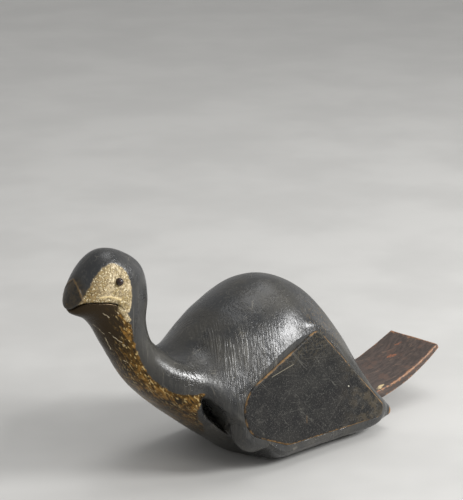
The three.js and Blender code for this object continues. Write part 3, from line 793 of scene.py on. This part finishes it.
class Finish:
    """A material put together from nodes, with places and sizes in millimetres."""

    def __init__(self, name):
        self.material = bpy.data.materials.new(name)
        self.material.use_nodes = True
        self.tree = self.material.node_tree
        self.shader = self.tree.nodes["Principled BSDF"]
        self.relief = None
        self.place = self.vector("SCALE", self.node("TexCoord").outputs["Object"], scale=1 / MM)

    def node(self, kind):
        return self.tree.nodes.new("ShaderNode" + kind)

    def feed(self, socket, value):
        if isinstance(value, bpy.types.NodeSocket):
            self.tree.links.new(value, socket)
        else:
            socket.default_value = value

    def vector(self, operation, first, second=(0, 0, 0), scale=1):
        node = self.node("VectorMath")
        node.operation = operation
        self.feed(node.inputs[0], first)
        if operation == "SCALE":
            self.feed(node.inputs["Scale"], scale)
        elif operation not in ("LENGTH", "ABSOLUTE"):
            self.feed(node.inputs[1], second)
        return node.outputs["Value" if operation in ("LENGTH", "DOT_PRODUCT") else "Vector"]

    def math(self, operation, first, second, clamp=False):
        node = self.node("Math")
        node.operation = operation
        node.use_clamp = clamp
        self.feed(node.inputs[0], first)
        self.feed(node.inputs[1], second)
        return node.outputs[0]

    def times(self, first, second):
        return self.math("MULTIPLY", first, second)

    def plus(self, first, second):
        return self.math("ADD", first, second)

    def ramp(self, value, low, high, start=0, end=1):
        """Smooth change from start to end while the value goes from low to high."""
        node = self.node("MapRange")
        node.interpolation_type = "SMOOTHSTEP"
        for socket, number in zip(node.inputs, (value, low, high, start, end)):
            self.feed(socket, number)
        return node.outputs[0]

    def mix(self, share, first, second):
        node = self.node("Mix")
        node.data_type = "RGBA"
        self.feed(node.inputs[0], share)
        self.feed(node.inputs[6], first)
        self.feed(node.inputs[7], second)
        return node.outputs[2]

    def lay(self, under, over, mask, strength=1):
        """A colour with another laid over it where a mask is."""
        return self.mix(self.times(mask, strength), under, over)

    def attribute(self, name):
        node = self.node("Attribute")
        node.attribute_name = name
        return node.outputs["Fac"]

    def zone(self, axis, begin, full):
        """Mask that begins at one place along an axis and is full at another."""
        node = self.node("SeparateXYZ")
        self.feed(node.inputs[0], self.place)
        return self.ramp(node.outputs[axis], begin, full)

    def folded(self):
        """Places with the bird's right side laid on its left."""
        return self.vector("ABSOLUTE", self.place)

    def near(self, place, spot, far, close):
        """Mask of the places about a spot, from far, where it begins, to close, where it is full."""
        return self.ramp(self.vector("LENGTH", self.vector("SUBTRACT", place, spot)), far, close)

    def drawn(self, shrink, turn=(0, 0, 0)):
        """Places turned by degrees and shrunk along each axis, so that what is laid on them draws out."""
        node = self.node("VectorRotate")
        node.rotation_type = "EULER_XYZ"
        self.feed(node.inputs["Vector"], self.place)
        node.inputs["Rotation"].default_value = [math.radians(angle) for angle in turn]
        return self.vector("MULTIPLY", node.outputs[0], shrink)

    def swept(self, run, across, stretch):
        """Flat places on a sloping side, left and right alike, drawn out along a run."""
        folded = self.folded()
        node = self.node("CombineXYZ")
        self.feed(node.inputs[0], self.times(self.vector("DOT_PRODUCT", folded, run), 1 / stretch))
        self.feed(node.inputs[1], self.vector("DOT_PRODUCT", folded, across))
        return node.outputs[0]

    def texture(self, kind, size, place):
        node = self.node("Tex" + kind)
        self.feed(node.inputs["Vector"], place or self.place)
        node.inputs["Scale"].default_value = 1 / size
        return node

    def noise(self, size, detail=3, place=None):
        node = self.texture("Noise", size, place)
        node.inputs["Detail"].default_value = detail
        node.inputs["Roughness"].default_value = 0.6
        return node.outputs[0]

    def bent(self, place, size, reach):
        """Places pushed about at random, so that what is laid on them winds."""
        colour = self.texture("Noise", size, place).outputs["Color"]
        push = self.vector("SUBTRACT", colour, (0.5, 0.5, 0.5))
        return self.vector("ADD", place, self.vector("SCALE", push, scale=reach))

    def ragged(self, size):
        """Fine noise about zero, to fray the edge of a paint."""
        return self.plus(self.noise(size, 5), -0.5)

    def cells(self, size, feature, place=None):
        node = self.texture("Voronoi", size, place)
        node.feature = feature
        return node.outputs

    def cracks(self, size, width, place=None):
        """Mask of a net of fine lines."""
        distance = self.cells(size, "DISTANCE_TO_EDGE", place)["Distance"]
        return self.ramp(distance, width / size, width / size / 3)

    def specks(self, spacing, radius, share):
        """Mask of round specks, one in a share of the cells of a spacing."""
        cells = self.cells(spacing, "F1")
        chosen = self.math("LESS_THAN", cells["Color"], share)
        return self.times(self.ramp(cells["Distance"], radius / spacing, radius / spacing / 2), chosen)

    def scratches(self, spacing, width, turn):
        """Mask of long thin lines, broken up, that run along the turned X axis."""
        lines = self.cracks(spacing, width, self.drawn((0.03, 1, 1), turn))
        stretches = self.noise(spacing, 2, self.drawn((0.2, 1, 1), turn))
        return self.times(lines, self.ramp(stretches, 0.56, 0.62))

    def stroke(self, start, end, width, place=None):
        """Mask of one mark from a place to another."""
        run = np.subtract(end, start)
        away = self.vector("SUBTRACT", place or self.place, start)
        reach = self.vector("DOT_PRODUCT", away, run)
        share = self.math("MULTIPLY", reach, 1 / float(run @ run), clamp=True)
        gap = self.vector("SUBTRACT", away, self.vector("SCALE", run, scale=share))
        return self.ramp(self.vector("LENGTH", gap), width / 2, width / 5)

    def emboss(self, height, depth):
        node = self.node("Bump")
        node.inputs["Distance"].default_value = depth * MM
        self.feed(node.inputs["Height"], height)
        if self.relief:
            self.feed(node.inputs["Normal"], self.relief)
        self.relief = node.outputs[0]

    def done(self, colour, roughness, metallic=0):
        self.feed(self.shader.inputs["Base Color"], colour)
        self.feed(self.shader.inputs["Roughness"], roughness)
        self.feed(self.shader.inputs["Metallic"], metallic)
        if self.relief:
            self.feed(self.shader.inputs["Normal"], self.relief)
        return self.material


# Ways that the marks of the finishes run, as turns in degrees and as directions
ALONG_NECK = (0, 52, 0)
DOWNWARDS = (0, 90, 0)
DOWN_FLANK = (0.41, 0.54, -0.74)
ACROSS_FLANK = (-0.83, 0.55, 0)
WRINKLE_STRETCH = 16

# Zones of the paint along an axis, each from where it begins to where it is full
# The first zones hold the wrinkles on the front of the flanks, where their painted highlight streaks lie.
WRINKLE_AND_SHEEN_ZONES = [("X", 32, 56), ("X", 86, 70), ("Z", 18, 40), ("Z", 96, 82)]
LEAF_FRONT = ("X", 66, 98)
LEAF_LOW = ("Z", 92, 62)
BROWN_CHEEK = ("X", 152, 168)
BEAK = ("X", 168, 172)
WING_REAR = ("X", 0, -36)
WING_TOP = ("Z", 56, 76)

# Spots of the paint, with their reaches from far to close
THIN_SPOT = (-2, 38, 82)
THIN_REACH = (27, 10)
POLISHED_SPOT = (106, 26, 70)
POLISHED_REACH = (15, 5)

# Single marks, from one end to the other
THROAT_SCRATCHES = [
    ((159, 2, 109), (153, 5, 102)),
    ((154, 5, 103), (147, 4, 91)),
    ((152, 8, 104), (143, 12, 94)),
    ((159, 12, 118), (151, 13, 111)),
    ((151, 15, 117), (147, 15, 114)),
    ((142, 6, 86), (137, 11, 80)),
]
WING_SCRATCH = ((52, 44, 60.9), (33, 44, 64.8))
WING_GOLD_SCRATCH = ((24, 47, 30), (24.4, 47.7, 25))
WING_CHIP = ((-14.5, 47, 39.7), (-14, 47, 40))
TAIL_SCRAPES = [((-120, -7, 30.7), (-123, -5, 32)), ((-108, -3, 26), (-112, 0, 27.5))]
TAIL_CHIP = ((-72, 22, 18), (-77, 20, 18.7))

# Strengths of the scratches all over the wing boards, by their angle in degrees
WING_HATCHING = {8: 0.14, 48: 0.2, -35: 0.1}


def wrinkles_and_sheen(f):
    """Mask of fine wrinkles in patches, which run down the flanks before the wings; the black coat is
    lightened along it as a painted highlight.
    """
    down_flank = f.swept(DOWN_FLANK, ACROSS_FLANK, WRINKLE_STRETCH)
    mask = f.ramp(f.noise(1.4, 2, f.bent(down_flank, 3, 1.2)), 0.44, 0.6)
    mask = f.times(mask, f.ramp(f.noise(13, 2), 0.32, 0.5))
    for zone in WRINKLE_AND_SHEEN_ZONES:
        mask = f.times(mask, f.zone(*zone))
    return mask


def black_coat(f):
    """Colour and roughness of brushed black lacquer, cracked all over and wrinkled on the flanks, with
    painted highlight streaks on the wrinkles.
    """
    cloud = f.noise(32, 3)
    brush = f.noise(1.7, 3, f.drawn((0.07, 1, 1), DOWNWARDS))
    net = f.cracks(2.6, 0.22, f.bent(f.drawn((1, 1, 0.6)), 2.2, 2.6))
    crack = f.times(net, f.ramp(f.noise(11, 3), 0.46, 0.62))
    wrinkle_and_sheen = wrinkles_and_sheen(f)
    thin = f.times(f.ramp(f.noise(1.6, 4), 0.52, 0.68), f.near(f.place, THIN_SPOT, *THIN_REACH))
    black = f.mix(f.ramp(cloud, 0.35, 0.7), tone(38, 39, 40), tone(56, 54, 49))
    black = f.lay(black, tone(84, 82, 76), f.ramp(brush, 0.5, 0.8), 0.5)
    # Painted highlight: the wrinkles on the front of the flanks are lightened as streaks of sheen.
    black = f.lay(black, tone(116, 112, 102), wrinkle_and_sheen, 0.24)
    black = f.lay(black, tone(22, 20, 17), crack, 0.6)
    black = f.lay(black, tone(98, 82, 54), thin, 0.7)
    black = f.lay(black, tone(112, 108, 98), f.scratches(6, 0.2, DOWNWARDS), 0.4)
    black = f.lay(black, tone(156, 150, 132), f.specks(4, 0.35, 0.08))
    f.emboss(brush, 0.18)
    f.emboss(f.noise(1.2, 3), 0.06)
    f.emboss(crack, -0.07)
    f.emboss(wrinkle_and_sheen, 0.2)
    polish = f.near(f.folded(), POLISHED_SPOT, *POLISHED_REACH)
    return black, f.plus(f.ramp(cloud, 0.3, 0.7, 0.25, 0.35), f.times(polish, -0.13))


def gold_leaf(f, gilded):
    """Colour of gold leaf in streaks along the neck, most of it along its edge and low on the breast."""
    plenty = f.math("MAXIMUM", f.attribute("gilt_band"), f.times(f.zone(*LEAF_LOW), 0.7))
    plenty = f.times(plenty, f.zone(*LEAF_FRONT))
    streaks = f.noise(1.8, 6, f.drawn((0.25, 1, 1), ALONG_NECK))
    leaf = f.ramp(f.plus(streaks, f.times(plenty, 0.26)), 0.6, 0.82)
    flecks = f.times(f.ramp(f.noise(1.3, 5, f.drawn((0.35, 1, 1), ALONG_NECK)), 0.55, 0.64), plenty)
    gold = f.mix(f.ramp(f.noise(5, 4), 0.42, 0.6), tone(88, 66, 33), tone(150, 112, 56))
    gold = f.mix(leaf, tone(56, 46, 33), gold)
    gold = f.lay(gold, tone(226, 198, 138), flecks, 0.8)
    winding = f.bent(f.place, 4, 3)
    for start, end in THROAT_SCRATCHES:
        gold = f.lay(gold, tone(206, 192, 162), f.stroke(start, end, 0.9, winding), 0.75)
    f.emboss(f.times(streaks, gilded), 0.25)
    return gold


def cheek_paint(f, cheek):
    """Colour of speckled cream gold, browner towards the beak and pale along the lip."""
    speckle = f.ramp(f.noise(1.3, 5), 0.46, 0.6)
    cream = f.mix(f.ramp(f.noise(7, 3), 0.4, 0.6), tone(152, 132, 86), tone(188, 170, 134))
    cream = f.lay(cream, tone(128, 102, 48), f.zone(*BROWN_CHEEK), 0.8)
    cream = f.lay(cream, tone(92, 76, 44), speckle, 0.7)
    cream = f.lay(cream, tone(230, 216, 180), f.ramp(f.noise(1, 3), 0.56, 0.64))
    cream = f.lay(cream, tone(214, 192, 140), f.ramp(f.attribute("lip"), 0.3, 0.9), 0.8)
    f.emboss(f.times(speckle, cheek), -0.14)
    return cream


def painted_wood():
    """Black lacquer, gilded on the throat and breast and cream on the cheeks, rubbed along the edges."""
    f = Finish("painted_wood")
    ragged = f.ragged(3)
    gilded = f.ramp(f.plus(f.attribute("gilt"), f.times(ragged, 3)), -0.5, 0.5)
    cheek = f.ramp(f.plus(f.attribute("cheek"), f.times(ragged, 2.5)), -0.5, 0.5)
    worn = f.ramp(f.plus(f.attribute("wear"), f.times(ragged, 1.6)), 0.55, 0.8)
    ridge = f.ramp(f.plus(f.attribute("ridge"), ragged), 0.5, 0.8)
    black, rough = black_coat(f)
    beak = f.mix(f.ramp(f.noise(3, 4), 0.4, 0.62), tone(30, 25, 18), tone(58, 48, 30))
    colour = f.lay(black, beak, f.zone(*BEAK))
    colour = f.lay(colour, gold_leaf(f, gilded), gilded)
    colour = f.lay(colour, cheek_paint(f, cheek), cheek)
    colour = f.lay(colour, f.mix(f.noise(4), tone(88, 58, 34), tone(172, 126, 72)), worn)
    colour = f.lay(colour, tone(106, 84, 50), ridge, 0.7)
    rough = f.plus(rough, f.times(f.plus(cheek, worn), 0.2))
    metal = f.times(gilded, f.math("SUBTRACT", 1, cheek))
    return f.done(colour, rough, f.times(metal, 0.9))


def scuffed_lacquer():
    """Dull black lacquer, scratched all over and rubbed to the gold ground along the rim."""
    f = Finish("scuffed_lacquer")
    rear = f.times(f.zone(*WING_REAR), f.ramp(f.noise(5, 4), 0.4, 0.6))
    top = f.times(f.zone(*WING_TOP), f.ramp(f.noise(1.6, 4), 0.46, 0.62))
    grit = f.ramp(f.noise(0.9, 3), 0.54, 0.68)
    rim = f.plus(f.attribute("rim"), f.times(f.ragged(2.6), 2.4))
    bare = f.times(f.ramp(rim, 1.4, 0.7), f.ramp(f.noise(13, 2), 0.38, 0.52))
    bare = f.times(bare, f.ramp(rim, -1.5, -0.5))
    colour = f.mix(f.ramp(f.noise(12, 4), 0.38, 0.66), tone(16, 16, 16), tone(34, 33, 31))
    colour = f.lay(colour, tone(74, 66, 52), rear, 0.7)
    colour = f.lay(colour, tone(80, 72, 54), top, 0.45)
    colour = f.lay(colour, tone(98, 96, 90), grit, 0.4)
    for angle, strength in WING_HATCHING.items():
        colour = f.lay(colour, tone(124, 122, 114), f.scratches(3.3, 0.14, (0, angle, 0)), strength)
    colour = f.lay(colour, tone(20, 19, 17), f.specks(5, 0.45, 0.1))
    colour = f.lay(colour, tone(150, 142, 122), f.stroke(*WING_SCRATCH, 0.6), 0.6)
    colour = f.lay(colour, tone(140, 106, 62), f.stroke(*WING_GOLD_SCRATCH, 0.5), 0.6)
    colour = f.lay(colour, tone(178, 174, 160), f.stroke(*WING_CHIP, 1.1))
    colour = f.lay(colour, f.mix(f.noise(3), tone(84, 66, 42), tone(156, 120, 74)), bare)
    f.shader.inputs["Specular IOR Level"].default_value = 0.25
    f.emboss(f.noise(1.3, 4), 0.16)
    f.emboss(grit, 0.06)
    return f.done(colour, f.plus(f.ramp(grit, 0, 1, 0.48, 0.6), f.times(bare, 0.1)))


def worn_stain():
    """Red-brown stain over straight grain, rubbed to orange wood along the edges."""
    f = Finish("worn_stain")
    grain = f.noise(1.8, 4, f.drawn((0.06, 1, 1)))
    bare = f.ramp(f.plus(f.attribute("edge"), f.times(f.ragged(2.8), 6)), 1.3, 0.2)
    colour = f.mix(f.ramp(grain, 0.36, 0.66), tone(58, 48, 43), tone(80, 67, 60))
    colour = f.lay(colour, tone(108, 78, 62), f.ramp(f.noise(9, 3), 0.52, 0.68), 0.4)
    colour = f.lay(colour, tone(140, 112, 92), f.scratches(4, 0.2, (0, 0, 24)), 0.4)
    colour = f.lay(colour, f.mix(f.noise(3), tone(104, 72, 52), tone(164, 116, 78)), bare)
    winding = f.bent(f.place, 2.5, 5)
    for start, end in TAIL_SCRAPES:
        colour = f.lay(colour, tone(150, 92, 60), f.stroke(start, end, 2.6, winding), 0.75)
    colour = f.lay(colour, tone(206, 184, 140), f.stroke(*TAIL_CHIP, 4, winding))
    f.emboss(grain, 0.14)
    f.emboss(f.noise(1.4, 3), 0.05)
    return f.done(colour, f.ramp(grain, 0.3, 0.7, 0.36, 0.5))


def bare_wood():
    f = Finish("bare_wood")
    grain = f.noise(0.7, 4, f.drawn((1, 0.1, 1)))
    f.emboss(grain, 0.08)
    return f.done(f.mix(f.ramp(grain, 0.35, 0.68), tone(134, 98, 60), tone(172, 134, 88)), 0.7)


def dark_glass():
    f = Finish("dark_glass")
    shade = f.ramp(f.noise(2.2, 2), 0.35, 0.7)
    return f.done(f.mix(shade, tone(22, 13, 10), tone(50, 28, 20)), f.ramp(shade, 0, 1, 0.06, 0.12))


def pale_floor():
    f = Finish("pale_floor")
    cloud = f.ramp(f.noise(120, 3), 0.35, 0.65)
    return f.done(f.mix(cloud, tone(190, 189, 186), tone(197, 196, 193)), f.ramp(cloud, 0, 1, 0.55, 0.65))


def cover(piece, material):
    piece.data.materials.clear()
    piece.data.materials.append(material)


def dress(piece, material, node):
    """Finishes a piece, which stands for a node."""
    cover(piece, material)
    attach(piece, "root")
    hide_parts(node)


# Studio
def aim_at(thing, spot, direction):
    thing.location = Vector(spot) * MM
    thing.rotation_mode = "QUATERNION"
    thing.rotation_quaternion = Vector(direction).to_track_quat("-Z", "Y")


def light_world():
    world = bpy.data.worlds.new("studio")
    world.use_nodes = True
    background = world.node_tree.nodes["Background"]
    background.inputs["Color"].default_value = (1, 1, 1, 1)
    background.inputs["Strength"].default_value = WORLD_LIGHT
    bpy.context.scene.world = world


def softbox(name, spot, width, height, power, aim=BIRD_MIDDLE):
    lamp = bpy.data.lights.new(name, "AREA")
    lamp.shape = "RECTANGLE"
    lamp.size = width * MM
    lamp.size_y = height * MM
    lamp.energy = power
    aim_at(put(name, lamp), spot, Vector(aim) - Vector(spot))


def picture_camera():
    turn, pitch = math.radians(CAMERA_TURN), math.radians(CAMERA_PITCH)
    level = math.cos(pitch)
    lens = bpy.data.cameras.new("camera")
    lens.sensor_width = SENSOR
    lens.lens = FOCAL_PIXELS * SENSOR / IMAGE_HEIGHT
    camera = put("camera", lens)
    aim_at(camera, CAMERA_SPOT, (-math.sin(turn) * level, -math.cos(turn) * level, -math.sin(pitch)))
    return camera


# Making
NO_PAINT = {"cheek": -100, "gilt": -100, "gilt_band": 0, "ridge": 0, "lip": 0}

carved = carved_block()
smooth_block(carved)
hew_block(carved)
body = part_of_block("carved_body", carved, False)
neck = part_of_block("carved_neck_and_head", carved, True)
carve_face(neck.data)
for paint, amount in NO_PAINT.items():
    note(body.data, paint, amount)
painted, scuffed, glass, wood = painted_wood(), scuffed_lacquer(), dark_glass(), bare_wood()
dress(body, painted, "body")
dress(neck, painted, "neck_and_head")
for side, name in ((1, "left"), (-1, "right")):
    dress(wing_board(f"carved_{name}_wing", side), scuffed, f"{name}_wing")
    dress(eye_bead(f"bead_{name}_eye", side), glass, f"{name}_eye")
dress(tail_board("curved_tail_board"), worn_stain(), "tail_board")
for name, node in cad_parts.items():
    if name.endswith(("_peg", "_dowel")):
        cover(node, wood)

bpy.ops.mesh.primitive_plane_add(size=FLOOR_SIZE * MM)
floor = bpy.context.object
floor.name = "floor"
cover(floor, pale_floor())
light_world()
for name, setting in SOFTBOXES.items():
    softbox(name, **setting)
bpy.context.scene.camera = picture_camera()
bpy.context.scene.view_settings.view_transform = "Standard"
